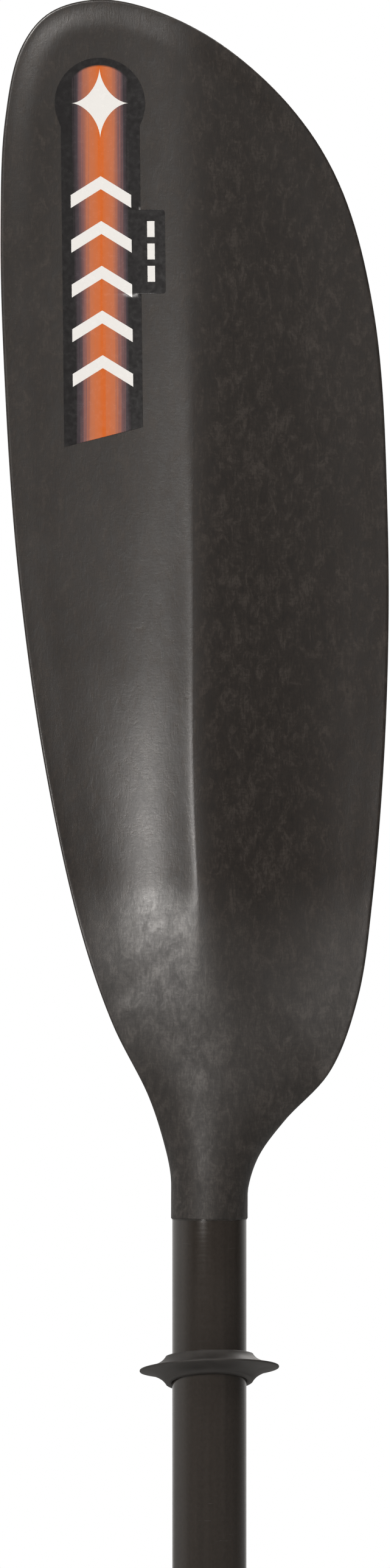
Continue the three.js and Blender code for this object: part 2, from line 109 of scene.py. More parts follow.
def full_turn(count):
    """Angles evenly round a circle."""
    return np.arange(count) * 2 * math.pi / count


def new_piece(name, vertices, faces, body, replaced, material, sharp=40):
    """A mesh from points in millimetres, riding on a body in place of CAD nodes."""
    mesh = bpy.data.meshes.new(name)
    points = (np.asarray(vertices, float) * MM).tolist()
    mesh.from_pydata(points, [], [list(map(int, f)) for f in faces])
    return finish_piece(name, mesh, body, replaced, material, sharp)


def finish_piece(name, mesh, body, replaced, material, sharp=40):
    """Closes up, faces outwards, shades and places a mesh that is in metres."""
    bm = bmesh.new()
    bm.from_mesh(mesh)
    bmesh.ops.remove_doubles(bm, verts=bm.verts, dist=1e-7)
    bmesh.ops.dissolve_degenerate(bm, edges=bm.edges, dist=1e-7)
    bmesh.ops.recalc_face_normals(bm, faces=bm.faces)
    bm.to_mesh(mesh)
    bm.free()
    mesh.shade_smooth()
    mesh.set_sharp_from_angle(angle=math.radians(sharp))
    mesh.materials.clear()
    mesh.materials.append(material)
    piece = in_scene(name, mesh)
    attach(piece, body)
    if replaced:
        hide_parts(*replaced)
    return piece


def grid_faces(rows, columns, close_rows=False):
    """Quads between rows of points, each row a closed loop."""
    faces = []
    for i in range(rows if close_rows else rows - 1):
        j = (i + 1) % rows
        for k in range(columns):
            n = (k + 1) % columns
            faces.append((i * columns + k, j * columns + k, j * columns + n, i * columns + n))
    return faces


def loft(rows):
    """Points and faces of a closed solid through closed loops, with a point closing each end."""
    rows = [np.asarray(r, float) for r in rows]
    columns = len(rows[0])
    points = np.vstack(rows + [rows[0].mean(0), rows[-1].mean(0)])
    faces = grid_faces(len(rows), columns)
    first, last = len(points) - 2, len(points) - 1
    base = (len(rows) - 1) * columns
    for k in range(columns):
        n = (k + 1) % columns
        faces.append((first, k, n))
        faces.append((last, base + n, base + k))
    return points, faces


def filleted(corners):
    """A closed profile's points, with each (r, z, fillet radius) corner turned into an arc."""
    out = []
    count = len(corners)
    for i, (r, z, radius) in enumerate(corners):
        here = np.array([r, z], float)
        before = np.array(corners[i - 1][:2], float) - here
        after = np.array(corners[(i + 1) % count][:2], float) - here
        if radius <= 0:
            out.append(here)
            continue
        u, v = before / np.linalg.norm(before), after / np.linalg.norm(after)
        half = math.acos(np.clip(u @ v, -1, 1)) / 2
        longest = 0.48 * min(np.linalg.norm(before), np.linalg.norm(after))
        reach = min(radius / math.tan(half), longest)
        middle = here + (u + v) / np.linalg.norm(u + v) * math.hypot(reach, reach * math.tan(half))
        start, stop = here + u * reach - middle, here + v * reach - middle
        a0 = math.atan2(start[1], start[0])
        turn = (math.atan2(stop[1], stop[0]) - a0 + math.pi) % (2 * math.pi) - math.pi
        for t in np.linspace(0, 1, 5):
            arm = np.linalg.norm(start)
            out.append(middle + arm * np.array([math.cos(a0 + turn * t), math.sin(a0 + turn * t)]))
    return np.array(out)


def turned(profile, sides=ROUND_SIDES, shape=None):
    """Points and faces of a ring turned about Z from a closed profile of (r, z) points."""
    profile = np.asarray(profile, float)
    turn = full_turn(sides)
    r, z = profile[:, 0], profile[:, 1]
    rows = [np.column_stack([r * math.cos(a), r * math.sin(a), z]) for a in turn]
    points = np.vstack(rows)
    if shape:
        points = shape(points)
    return points, grid_faces(sides, len(profile), close_rows=True)


def round_piece(name, corners, body, slot, replaced, material, sides=ROUND_SIDES, move=None):
    """A piece turned about Z from (r, z, fillet) corners, then moved by a function of its points."""
    points, faces = turned(filleted(corners), sides)
    if move:
        points = move(points)
    return new_piece(name, points, faces, body, replaced, material)


def prism(name, outline, low, high):
    """An object, not yet placed, made by pushing an outline in X and Y out from low to high."""
    bm = bmesh.new()
    bottom = [bm.verts.new((x * MM, y * MM, low * MM)) for x, y in outline]
    face = bm.faces.new(bottom)
    made = bmesh.ops.extrude_face_region(bm, geom=[face])
    top = [v for v in made["geom"] if isinstance(v, bmesh.types.BMVert)]
    bmesh.ops.translate(bm, verts=top, vec=(0, 0, (high - low) * MM))
    bmesh.ops.recalc_face_normals(bm, faces=bm.faces)
    mesh = bpy.data.meshes.new(name)
    bm.to_mesh(mesh)
    bm.free()
    return in_scene(name, mesh)


def drill(centre, direction, radius, reach, sides=48):
    """A round cutter through a point, for a boolean."""
    plan = [(radius * math.cos(a), radius * math.sin(a)) for a in full_turn(sides)]
    cutter = prism("cutter", plan, -reach, reach)
    spin = Vector((0, 0, 1)).rotation_difference(Vector(direction)).to_matrix().to_4x4()
    cutter.data.transform(spin)
    cutter.data.transform(spin.Translation(Vector(centre) * MM))
    return cutter


def cut(target, tool):
    combine(target, [tool], "DIFFERENCE")


def combine(target, tools, operation):
    """Joins or cuts with other objects, which are used up."""
    for tool in tools:
        modifier = target.modifiers.new("combine", "BOOLEAN")
        modifier.operation = operation
        modifier.solver = "EXACT"
        modifier.object = tool
        apply_modifiers(target)
        bpy.data.objects.remove(tool)


def apply_modifiers(target):
    """Bakes an object's modifiers into its mesh."""
    bpy.context.view_layer.update()
    graph = bpy.context.evaluated_depsgraph_get()
    made = bpy.data.meshes.new_from_object(target.evaluated_get(graph))
    target.modifiers.clear()
    target.data = made


def soften(target, width):
    """Rounds an object's hard edges."""
    bevel = target.modifiers.new("edges", "BEVEL")
    bevel.width = width * MM
    bevel.segments = 3
    bevel.limit_method = "ANGLE"
    bevel.angle_limit = math.radians(35)
    bevel.use_clamp_overlap = True
    apply_modifiers(target)


def place(target, name, body, slot, replaced, material):
    """Turns a built object into a finished piece."""
    mesh = target.data
    bpy.data.objects.remove(target)
    mesh.name = name
    return finish_piece(name, mesh, body, replaced, material)


def smooth(x, low, high):
    """An S-curve from 0 at low to 1 at high."""
    t = np.clip((x - low) / (high - low), 0, 1)
    return t * t * (3 - 2 * t)


def mix(a, b, t):
    return a + (b - a) * t


# ---------------------------------------------------------------- blade shape

# The outline, as [across from the shaft axis, distance below the tip], down from the crown.
CROWN = [-46.5, 0]
LONG_EDGE = [
    CROWN, [-64.9, 5.5], [-76, 19.3], [-82.6, 48.8], [-84.4, 93], [-83.1, 147.2], [-77.9, 226],
    [-67.4, 304.5], [-52.6, 373.4], [-39.3, 412.7], [-24.6, 442.3], [-18.2, 461.9],
    [-15.7, 474], [-15.5, 484], [-15.5, 492],
]  # fmt: skip
CUT_EDGE = [
    CROWN, [-25.6, 3.1], [3.9, 17.3], [33.4, 43.6], [53.1, 75.1], [66.9, 127.5], [72.3, 210],
    [71.6, 290], [66, 363.6], [60, 402.9], [48.7, 432.4], [30.5, 452.1], [20, 466.5],
    [15.8, 479], [15.5, 486], [15.5, 492],
]  # fmt: skip

CURVE_STEPS = 30  # between two of these points

RIDGE_X = -6.5  # the dihedral's ridge, a little to the long edge's side of the shaft axis
THROAT = 118.0  # where the neck's boss runs out on the ridge, above the neck's mouth
THROAT_FRONT = 4.4  # the power face's height there, forward of the shaft axis
THROAT_SLOPE = -0.08
SAG, SAG_UP = 3.85, 225.0  # the blade's ridge dips back behind the shaft axis
TIP_FORWARD = 12.5
DIHEDRAL_SLOPE = 0.33  # of each flank where it leaves the ridge
DIHEDRAL_AT_TIP = 0.3  # the share of the dihedral that is left at the tip
LONG_SCOOP, CUT_SCOOP = 18.5, 29.4  # how far each flank goes before it levels out
EDGE_RISE = 0.8  # how far the edges come forward again
LONG_EDGE_RISE = 2.8  # the long edge's, by the throat
BOSS_REACH = 46.0
BOSS_START = 3.0  # the boss's half width at the throat
LONG_WIDENING, CUT_WIDENING = 1.15, 0.9  # and how fast it grows down each side
RIM_R = 0.75  # the rounded rim
RIDGE_HALF = 2.15  # half the plate's thickness in its middle
NECK_HALF = 0.3  # what is left of the plate inside the neck
PLATE_UP = 45.0  # where the plate has its full thickness
SPINE_LENGTH = 345.0  # of the spine on the back, above the neck's mouth
HALF_COLUMNS = 36
NECK_LIP = ((15.36, 0.14), (15.2, 0.04), (15.0, 0.0))  # the rounded edge of the neck's mouth


def smooth_line(points):
    """A centripetal Catmull-Rom curve through points."""
    p = np.array(points, float)
    p = np.vstack([2 * p[0] - p[1], p, 2 * p[-1] - p[-2]])
    out = []
    for i in range(1, len(p) - 2):
        a, b, c, d = p[i - 1 : i + 3]
        t1 = np.linalg.norm(b - a) ** 0.5
        t2 = t1 + np.linalg.norm(c - b) ** 0.5
        t3 = t2 + np.linalg.norm(d - c) ** 0.5
        t = np.linspace(t1, t2, CURVE_STEPS, endpoint=False)[:, None]
        ab = ((t1 - t) * a + t * b) / t1
        bc = ((t2 - t) * b + (t - t1) * c) / (t2 - t1)
        cd = ((t3 - t) * c + (t - t2) * d) / (t3 - t2)
        abc = ((t2 - t) * ab + t * bc) / t2
        bcd = ((t3 - t) * bc + (t - t1) * cd) / (t3 - t1)
        out.append(((t2 - t) * abc + (t - t1) * bcd) / (t2 - t1))
    return np.vstack(out + [p[-2][None]])


outline = smooth_line(CUT_EDGE[::-1] + LONG_EDGE[1:])
outline[:, 1] -= outline[:, 1].min()
crown_row = outline[:, 1].argmin()
long_line, cut_line = outline[crown_row:], outline[crown_row::-1]


def sides_at(below):
    """Where the two edges are, across, at a distance below the tip."""
    return [np.interp(below, line[:, 1], line[:, 0]) for line in (long_line, cut_line)]


def from_edge(x, below):
    """How far points of the plan are from the nearest edge."""
    a, step = outline[:-1], np.diff(outline, axis=0)
    points = np.column_stack([np.ravel(x), np.ravel(below)])
    out = np.empty(len(points))
    for i in range(0, len(points), 2000):
        gap = points[i : i + 2000, None, :] - a
        t = np.clip((gap * step).sum(2) / (step**2).sum(1), 0, 1)
        out[i : i + 2000] = np.sqrt(((gap - t[..., None] * step) ** 2).sum(2).min(1))
    return out.reshape(np.shape(x))


def ridge_at(up):
    """Where the ridge is, across, at a height above the neck's mouth."""
    return RIDGE_X * smooth(up, 20, 200)


def to_throat(up, low, start, end):
    """A height that is level at its start and reaches the throat with the blade's own slope."""
    t = np.clip((up - low) / (THROAT - low), 0, 1)
    swing = 3 * t**2 - 2 * t**3
    return start + (end - start) * swing + (t**3 - t**2) * (THROAT - low) * THROAT_SLOPE


def ridge_line(up):
    """How far the plate's middle stands forward of the shaft axis, on the ridge."""
    at_throat = THROAT_FRONT - RIDGE_HALF
    tip = (SAG + TIP_FORWARD) * ((up - SAG_UP) / (BLADE_LENGTH - SAG_UP)) ** 2 - SAG
    middle = to_throat(up, SAG_UP, -SAG, at_throat)
    neck = to_throat(up, 20, 0, at_throat)
    return np.where(up > SAG_UP, tip, np.where(up > THROAT, middle, neck))


def middle_surface(x, up, side):
    """How far the middle of the blade's plate stands forward of the shaft axis.

    The flanks fall away from a ridge that is crisp up the long side, scoop and then level out.
    """
    below = BLADE_LENGTH - up
    away = np.abs(x - ridge_at(up))
    share = mix(DIHEDRAL_AT_TIP, 1, smooth(below, 0, 330)) * smooth(up, 55, 135)
    scoop = np.where(x < ridge_at(up), LONG_SCOOP, CUT_SCOOP)
    crisp = mix(16, 1.6, smooth(up, 95, 135))
    blunt = mix(12, np.where(x < ridge_at(up), crisp, 15), smooth(below, 20, 260))
    fall = np.hypot(away, blunt) - blunt
    width = np.maximum(1, np.abs(side - ridge_at(up)))
    at_throat = np.where(x < ridge_at(up), LONG_EDGE_RISE, EDGE_RISE)
    rise = mix(at_throat, EDGE_RISE, smooth(up, 110, 280))
    rise = rise * smooth(below, 0, 60) * smooth(up, 40, 170)
    rise = rise * np.clip(away / width, 0, 1) ** 3.5
    return ridge_line(up) - share * DIHEDRAL_SLOPE * scoop * np.tanh(fall / scoop) + rise


def plate_half(x, up):
    """Half the plate's thickness: a rounded rim, then thicker inwards."""
    edge = from_edge(x, BLADE_LENGTH - up)
    rim = np.sqrt(np.maximum(0, RIM_R**2 - np.maximum(0, RIM_R - edge) ** 2))
    bevel = 0.3 + 0.6 * smooth(up, BLADE_LENGTH - 110, BLADE_LENGTH - 20)
    inner = RIDGE_HALF - RIM_R - bevel
    full = rim + bevel * smooth(edge, 0.5, 12) + inner * smooth(edge, 8, 55)
    neck = NECK_HALF * smooth(edge, 0, 2)
    return mix(neck, full, smooth(up, LIP_DEPTH, PLATE_UP))


def bell(q, power):
    """A swelling over the plate: round at the neck's mouth, bell-shaped further up."""
    return np.maximum(0, 1 - q * q) ** power


def front_face(x, up, side):
    """The power face. The neck runs out on it as a wide soft boss."""
    away = x - ridge_at(up)
    widening = np.where(away < 0, LONG_WIDENING, CUT_WIDENING)
    reach = BOSS_START + np.maximum(0, THROAT - up) * widening
    reach = np.minimum(np.minimum(np.abs(side - ridge_at(up)), reach), BOSS_REACH)
    plate = mix(NECK_HALF, RIDGE_HALF, smooth(up, LIP_DEPTH, PLATE_UP))
    swell = np.maximum(0, to_throat(up, 12, NECK_R, THROAT_FRONT) - ridge_line(up) - plate)
    swell = np.where(up < THROAT, swell, 0)
    power = mix(0.5, 1.9, smooth(up, LIP_DEPTH, 95))
    return middle_surface(x, up, side) + plate_half(x, up) + swell * bell(away / reach, power)


def back_face(x, up, side):
    """The back, where the shaft's line goes on up the blade as a long tapering spine."""
    away = x - ridge_at(up)
    reach = np.minimum(np.abs(side - ridge_at(up)), mix(24, 11, smooth(up, 60, 330)))
    swell = (NECK_R - NECK_HALF) * (1 - smooth(up, 5, SPINE_LENGTH)) ** 1.2
    power = mix(0.5, 1.6, smooth(up, LIP_DEPTH, 80))
    return middle_surface(x, up, side) - plate_half(x, up) - swell * bell(away / reach, power)


def blade_rows():
    """Distances below the tip: crowded at the crown, closer at the shoulders."""
    crown = 56 * (np.arange(1, 31) / 30) ** 2
    body = np.arange(60, 356, 4.5)
    shoulder = np.arange(357, BLADE_LENGTH - 8, 2.4)
    mouth = BLADE_LENGTH - np.array([6, 4, 2.5, 1.4, 0.7, 0.4])
    return np.concatenate([crown, body, shoulder, mouth])


def neck_loop(r, up, count):
    """A round loop that starts at -X and goes round by the front."""
    turn = math.pi + full_turn(count)
    return np.column_stack([r * np.cos(turn), r * np.sin(turn), np.full(count, up)])


def blade_points():
    """Points and faces of a blade: loops from the crown down to the neck's mouth and lip."""
    ease = (1 - np.cos(np.linspace(0, math.pi, HALF_COLUMNS + 1))) / 2
    loops = []
    for below in blade_rows():
        up = BLADE_LENGTH - below
        left, right = sides_at(below)
        ridge = np.clip(ridge_at(up), mix(left, right, 0.4), mix(left, right, 0.6))
        x = np.concatenate([mix(left, ridge, ease), mix(ridge, right, ease[1:])])
        side = np.where(x < ridge_at(up), left, right)
        ups = np.full_like(x, up)
        front = front_face(x, ups, side)
        back = back_face(x, ups, side)
        x = np.concatenate([x, x[-2:0:-1]])
        forward = np.concatenate([front, back[-2:0:-1]])
        loops.append(np.column_stack([x, -forward, np.full_like(x, up)]))
    count = len(loops[0])
    for r, up in (*NECK_LIP, (LIP_R, 0.0), (LIP_R, LIP_DEPTH)):
        loops.append(neck_loop(r, up, count))
    return loft(loops)


def on_shaft(points, mirrored):
    """Puts points measured from the neck's mouth at the end of the upper or the lower shaft."""
    points[:, 2] += NECK_Z
    if mirrored:
        points[:, 2] *= -1
    return points


def blade(name, mirrored, body, replaced, material):
    """A blade with its neck. The lower one is the mirror image of the upper."""
    points, faces = blade_points()
    points = on_shaft(points, mirrored)
    return new_piece(name, points, faces, body, replaced, material, sharp=60)


# ---------------------------------------------------------------- label

LABEL_X = -44.2  # its middle, at its round head
LABEL_DRIFT = 1.4  # how far the label leans to the ridge at its lower end
HEAD_BELOW, HEAD_R = 41.7, 18.2
STRIP_HALF = 15.9
LABEL_END, LABEL_SLANT = 172.0, 8.0
TAB = {"top": 84.5, "bottom": 118.2, "width": 9.8, "corner": 1.2}
FILM = 0.12
FILM_LIFT = 0.04

STAR = {"length": 14.0, "width": 11.5, "bend": 0.62}
STREAK_HALF = 13.0
CHEVRONS = {"top": 71.0, "pitch": 18.0, "bar": 5.2, "half": 12.2, "slope": -0.62, "rows": 4.9}
DASHES = {"middle": 101.3, "half": 13.4, "pitch": 9.0, "gap": 1.3, "width": 1.5}


def label_middle(below):
    """The middle of the label, across, at a distance below the tip."""
    return LABEL_X + LABEL_DRIFT * (below - HEAD_BELOW) / (LABEL_END - HEAD_BELOW)


def label_sides(below):
    """The label's two sides at a distance below the tip: a round head, a strip and a side tab."""
    offset = below - HEAD_BELOW
    head = np.sqrt(max(0.0, HEAD_R**2 - offset**2))
    half = STRIP_HALF if offset > 0 and head < STRIP_HALF else head
    corner = TAB["corner"]
    into = min(below - TAB["top"], TAB["bottom"] - below)
    tab = 0.0
    if into > 0:
        round_off = math.sqrt(max(0.0, corner**2 - max(0.0, corner - into) ** 2))
        tab = TAB["width"] - corner + round_off
    middle = label_middle(below)
    return middle - half, middle + half + tab


def label_rows():
    """Distances below the tip: crowded at the round head and at the tab's corners."""
    top = HEAD_BELOW - HEAD_R
    head = top + HEAD_R * (1 - np.cos(np.linspace(0.02, math.pi / 2, 22)))
    below_head = np.linspace(HEAD_BELOW + 1.2, TAB["top"] - 1.5, 26)
    corner = np.array([0.02, 0.1, 0.3, 0.7, 1.2])
    tab_top = [TAB["top"] - 0.02, *(TAB["top"] + corner)]
    tab = np.linspace(TAB["top"] + 3, TAB["bottom"] - 3, 16)
    tab_end = [*(TAB["bottom"] - corner[::-1]), TAB["bottom"] + 0.02]
    rest = np.linspace(TAB["bottom"] + 2, LABEL_END, 28)
    return np.concatenate([head, below_head, tab_top, tab, tab_end, rest])


def label_points():
    """Points and faces of the film, laid on the power face."""
    columns = np.linspace(0, 1, 33)
    loops = []
    for below in label_rows():
        left, right = label_sides(below)
        x = mix(left, right, columns)
        lean = smooth(below, TAB["bottom"] + 2, LABEL_END) * LABEL_SLANT
        drop = below + lean * (right - x) / (right - left)
        up = BLADE_LENGTH - drop
        edges = np.array([sides_at(b)[0] for b in drop])
        front = front_face(x, up, edges) + FILM_LIFT
        over = np.column_stack([x, -front - FILM, up])
        under = np.column_stack([x, -front, up])
        loops.append(np.vstack([over, under[::-1]]))
    return loft(loops)


def label(name, mirrored, body, replaced, material):
    """A blade's label."""
    points, faces = label_points()
    points = on_shaft(points, mirrored)
    return new_piece(name, points, faces, body, replaced, material, sharp=50)


# ---------------------------------------------------------------- materials


LABEL_BLACK = (0.0095, 0.0085, 0.009)


class Paint:
    """A node material, with short calls for the nodes that the materials here use."""

    def __init__(self, name, roughness, **constants):
        self.material = bpy.data.materials.new(name)
        self.material.use_nodes = True
        self.nodes = self.material.node_tree.nodes
        self.links = self.material.node_tree.links
        self.shader = self.nodes["Principled BSDF"]
        self.shader.inputs["Roughness"].default_value = roughness
        for socket, value in constants.items():
            self.shader.inputs[socket.replace("_", " ")].default_value = value
        self.place = self.nodes.new("ShaderNodeTexCoord").outputs["Object"]

    def link(self, value, socket):
        if isinstance(value, (int, float)):
            socket.default_value = value
        else:
            self.links.new(value, socket)

    def math(self, operation, a, b=0.0, c=0.0):
        node = self.nodes.new("ShaderNodeMath")
        node.operation = operation
        for value, socket in zip((a, b, c), node.inputs):
            self.link(value, socket)
        return node.outputs[0]

    def times(self, a, b):
        return self.math("MULTIPLY", a, b)

    def axis(self, index):
        """One coordinate of the place on the object, in metres."""
        split = self.nodes.new("ShaderNodeSeparateXYZ")
        self.links.new(self.place, split.inputs[0])
        return split.outputs[index]

    def vector(self, x, y, z):
        node = self.nodes.new("ShaderNodeCombineXYZ")
        for value, socket in zip((x, y, z), node.inputs):
            self.link(value, socket)
        return node.outputs[0]

    def stretched(self, x, y, z, tilt=0.0):
        node = self.nodes.new("ShaderNodeMapping")
        node.inputs["Scale"].default_value = (x, y, z)
        node.inputs["Rotation"].default_value = (0, tilt, 0)
        self.links.new(self.place, node.inputs[0])
        return node.outputs[0]

    def noise(self, vector, detail=4.0, rough=0.55, distortion=0.0):
        node = self.nodes.new("ShaderNodeTexNoise")
        self.links.new(vector, node.inputs["Vector"])
        node.inputs["Scale"].default_value = 1.0
        node.inputs["Detail"].default_value = detail
        node.inputs["Roughness"].default_value = rough
        node.inputs["Distortion"].default_value = distortion
        return node.outputs["Fac"]

    def span(self, value, from_low, from_high, to_low=0.0, to_high=1.0):
        node = self.nodes.new("ShaderNodeMapRange")
        self.link(value, node.inputs["Value"])
        node.inputs["From Min"].default_value = from_low
        node.inputs["From Max"].default_value = from_high
        node.inputs["To Min"].default_value = to_low
        node.inputs["To Max"].default_value = to_high
        return node.outputs[0]

    def ramp(self, value, stops):
        node = self.nodes.new("ShaderNodeValToRGB")
        self.link(value, node.inputs[0])
        elements = node.color_ramp.elements
        while len(elements) < len(stops):
            elements.new(0.5)
        for element, (at, color) in zip(elements, stops):
            element.position = at
            element.color = (*color, 1)
        return node.outputs[0]

    def blend(self, share, a, b):
        """Mixes two colours, each a tuple or a socket."""
        node = self.nodes.new("ShaderNodeMix")
        node.data_type = "RGBA"
        self.link(share, node.inputs["Factor"])
        for value, socket in ((a, node.inputs[6]), (b, node.inputs[7])):
            if isinstance(value, tuple):
                socket.default_value = (*value, 1)
            else:
                self.links.new(value, socket)
        return node.outputs[2]

    def bump(self, height, strength, distance):
        node = self.nodes.new("ShaderNodeBump")
        self.links.new(height, node.inputs["Height"])
        node.inputs["Strength"].default_value = strength
        node.inputs["Distance"].default_value = distance
        return node.outputs[0]

    def finish(self, color=None, roughness=None, normal=None):
        for value, socket in ((color, "Base Color"), (roughness, "Roughness"), (normal, "Normal")):
            if value is not None:
                self.links.new(value, self.shader.inputs[socket])
        return self.material


def blade_material():
    """Short-fibre filled nylon: satin, dark and warm, mottled where the fibres flowed in the mould.

    On the neck the fibres stand out of the surface, so it is duller there.
    """
    paint = Paint("blade_nylon", 0.36, IOR=1.5)
    flow = paint.noise(paint.stretched(45, 45, 22), detail=3, distortion=1.5)
    fibres = paint.noise(paint.stretched(1500, 600, 330, 0.12), detail=5, rough=0.7)
    across = paint.noise(paint.stretched(420, 400, 1300, -0.25), detail=4, rough=0.7)
    patches = paint.noise(paint.stretched(240, 160, 130, 0.25), detail=7, rough=0.75, distortion=0.7)
    woven = paint.math("ADD", paint.times(fibres, 0.6), paint.times(across, 0.4))
    mottled = paint.math("MULTIPLY_ADD", woven, 0.45, paint.times(patches, 0.55))
    color = paint.ramp(
        mottled,
        [
            (0.40, (0.0125, 0.0102, 0.0088)),
            (0.5, (0.0225, 0.0186, 0.0161)),
            (0.60, (0.046, 0.0391, 0.0345)),
        ],
    )
    up = paint.math("MULTIPLY_ADD", paint.math("ABSOLUTE", paint.axis(2)), 1 / MM, -NECK_Z)
    on_neck = paint.span(up, 140, 75)
    shade = paint.math("MULTIPLY_ADD", flow, 0.08, 0.26)
    shade = paint.math("MULTIPLY_ADD", on_neck, 0.28, shade)
    roughness = paint.math("ADD", shade, paint.span(mottled, 0.4, 0.6, 0.06, -0.06))
    normal = paint.bump(mottled, 0.4, 0.00022)
    return paint.finish(color, roughness, normal)


def shaft_material():
    """Black fibre laminate under a thin semi-gloss finish, with faint wraps and rubbed scuffs."""
    paint = Paint("shaft_laminate", 0.16, IOR=1.5)
    along = paint.noise(paint.stretched(260, 260, 6), detail=3)
    wraps = paint.noise(paint.stretched(14, 14, 900, 0.3), detail=3)
    specks = paint.noise(paint.stretched(900, 900, 700), detail=2)
    scuffs = paint.noise(paint.stretched(70, 70, 900, 0.15), detail=3, distortion=0.6)
    scuffs = paint.span(scuffs, 0.66, 0.74)
    where = paint.span(paint.noise(paint.stretched(25, 25, 25)), 0.52, 0.62)
    scuffed = paint.times(scuffs, where)
    base = paint.ramp(
        paint.math("MULTIPLY_ADD", along, 0.6, paint.times(specks, 0.4)),
        [(0.3, (0.0240, 0.0200, 0.0170)), (0.7, (0.0370, 0.0310, 0.0265))],
    )
    color = paint.blend(scuffed, base, (0.05, 0.045, 0.042))
    finish = paint.span(wraps, 0.3, 0.7, 0.13, 0.19)
    roughness = paint.math("ADD", finish, paint.times(scuffed, 0.25))
    normal = paint.bump(paint.math("MULTIPLY_ADD", wraps, 0.6, specks), 0.08, 0.0001)
    return paint.finish(color, roughness, normal)


def rubber_material():
    """Soft matt rubber with a fine grain and a little dust in it."""
    paint = Paint("ring_rubber", 0.62, IOR=1.5)
    grain = paint.noise(paint.stretched(1800, 1800, 1800), detail=3)
    dust = paint.noise(paint.stretched(140, 140, 140), detail=5, rough=0.65)
    color = paint.ramp(dust, [(0.35, (0.019, 0.0165, 0.015)), (0.7, (0.036, 0.032, 0.029))])
    roughness = paint.span(dust, 0.3, 0.7, 0.56, 0.7)
    return paint.finish(color, roughness, paint.bump(grain, 0.25, 0.0001))


def ferrule_material():
    """Glass-filled nylon with the fine spark-eroded texture of its mould."""
    paint = Paint("ferrule_nylon", 0.5, IOR=1.5)
    grain = paint.noise(paint.stretched(2600, 2600, 2600), detail=2)
    cloud = paint.noise(paint.stretched(90, 90, 90), detail=4)
    color = paint.ramp(cloud, [(0.3, (0.013, 0.0122, 0.0115)), (0.7, (0.021, 0.0195, 0.0185))])
    roughness = paint.span(grain, 0.3, 0.7, 0.42, 0.58)
    return paint.finish(color, roughness, paint.bump(grain, 0.4, 0.00008))


def steel_material():
    """Brushed stainless steel."""
    paint = Paint("screw_steel", 0.3, Metallic=1.0)
    brushed = paint.noise(paint.stretched(300, 4000, 300), detail=3)
    color = paint.ramp(brushed, [(0.3, (0.42, 0.41, 0.40)), (0.7, (0.62, 0.61, 0.60))])
    roughness = paint.span(brushed, 0.3, 0.7, 0.24, 0.38)
    return paint.finish(color, roughness, paint.bump(brushed, 0.1, 0.00005))


def foam_material():
    """Closed-cell foam."""
    paint = Paint("plug_foam", 0.9)
    cells = paint.noise(paint.stretched(900, 900, 900), detail=3)
    color = paint.ramp(cells, [(0.35, (0.03, 0.029, 0.028)), (0.65, (0.06, 0.058, 0.055))])
    return paint.finish(color, None, paint.bump(cells, 0.6, 0.0004))


def pale_material():
    """Pale satin plastic, a little yellowed."""
    paint = Paint("pale_plastic", 0.4, IOR=1.5)
    cloud = paint.noise(paint.stretched(120, 120, 120), detail=4)
    color = paint.ramp(cloud, [(0.3, (0.50, 0.48, 0.43)), (0.7, (0.62, 0.60, 0.56))])
    return paint.finish(color, paint.span(cloud, 0.3, 0.7, 0.34, 0.46))


def scale_material():
    """The ferrule's scale: a line every 10 mm of length, and ticks every 15 degrees of feather."""
    paint = Paint("pale_plastic_scale", 0.35, IOR=1.5)
    z = paint.math("ADD", paint.axis(2), 1.0)
    line = paint.math("LESS_THAN", paint.math("PINGPONG", z, 0.005), 0.0004)
    turn = paint.math("ADD", paint.math("ARCTAN2", paint.axis(1), paint.axis(0)), math.pi)
    tick = paint.math("LESS_THAN", paint.math("PINGPONG", turn, math.radians(7.5)), 0.03)
    half = paint.math("GREATER_THAN", paint.math("PINGPONG", z, 0.01), 0.0075)
    ink = paint.math("MAXIMUM", line, paint.times(tick, half))
    fade = paint.noise(paint.stretched(150, 150, 150), detail=4)
    pale = paint.ramp(fade, [(0.3, (0.50, 0.48, 0.43)), (0.7, (0.62, 0.60, 0.56))])
    color = paint.blend(ink, pale, (0.02, 0.02, 0.022))
    return paint.finish(color, paint.span(fade, 0.3, 0.7, 0.3, 0.42))


def label_streak(paint, x, below, side):
    """The orange streak that runs down the label's middle, frayed by its strands."""
    down = paint.times(below, 0.012)
    strands = paint.noise(paint.vector(paint.times(x, 1.1), 0.0, down), detail=6)
    wander = paint.math("MULTIPLY_ADD", strands, 5.0, -2.5)
    spread = paint.math("ABSOLUTE", paint.math("ADD", side, wander))
    streak = paint.ramp(
        paint.math("DIVIDE", spread, STREAK_HALF),
        [
            (0.0, (0.62, 0.12, 0.010)),
            (0.10, (0.58, 0.14, 0.035)),
            (0.36, (0.50, 0.15, 0.065)),
            (0.56, (0.20, 0.09, 0.085)),
            (0.72, (0.055, 0.04, 0.048)),
            (0.86, LABEL_BLACK),
        ],
    )
    head = paint.math("POWER", paint.math("SUBTRACT", below, HEAD_BELOW), 2.0)
    ringed = paint.math("SQRT", paint.math("MULTIPLY_ADD", side, side, head))
    under_head = paint.span(below, HEAD_BELOW + 6, HEAD_BELOW + 7)
    inside = paint.math("MAXIMUM", paint.span(ringed, 15.4, 14.6), under_head)
    return paint.blend(inside, LABEL_BLACK, streak)


def label_star(paint, below, away):
    """A mask of a four-pointed star in the label's round head."""
    up = paint.math("ABSOLUTE", paint.math("SUBTRACT", below, HEAD_BELOW))
    long_arm = paint.math("POWER", paint.math("DIVIDE", up, STAR["length"]), STAR["bend"])
    short_arm = paint.math("POWER", paint.math("DIVIDE", away, STAR["width"]), STAR["bend"])
    return paint.math("LESS_THAN", paint.math("ADD", long_arm, short_arm), 1.0)


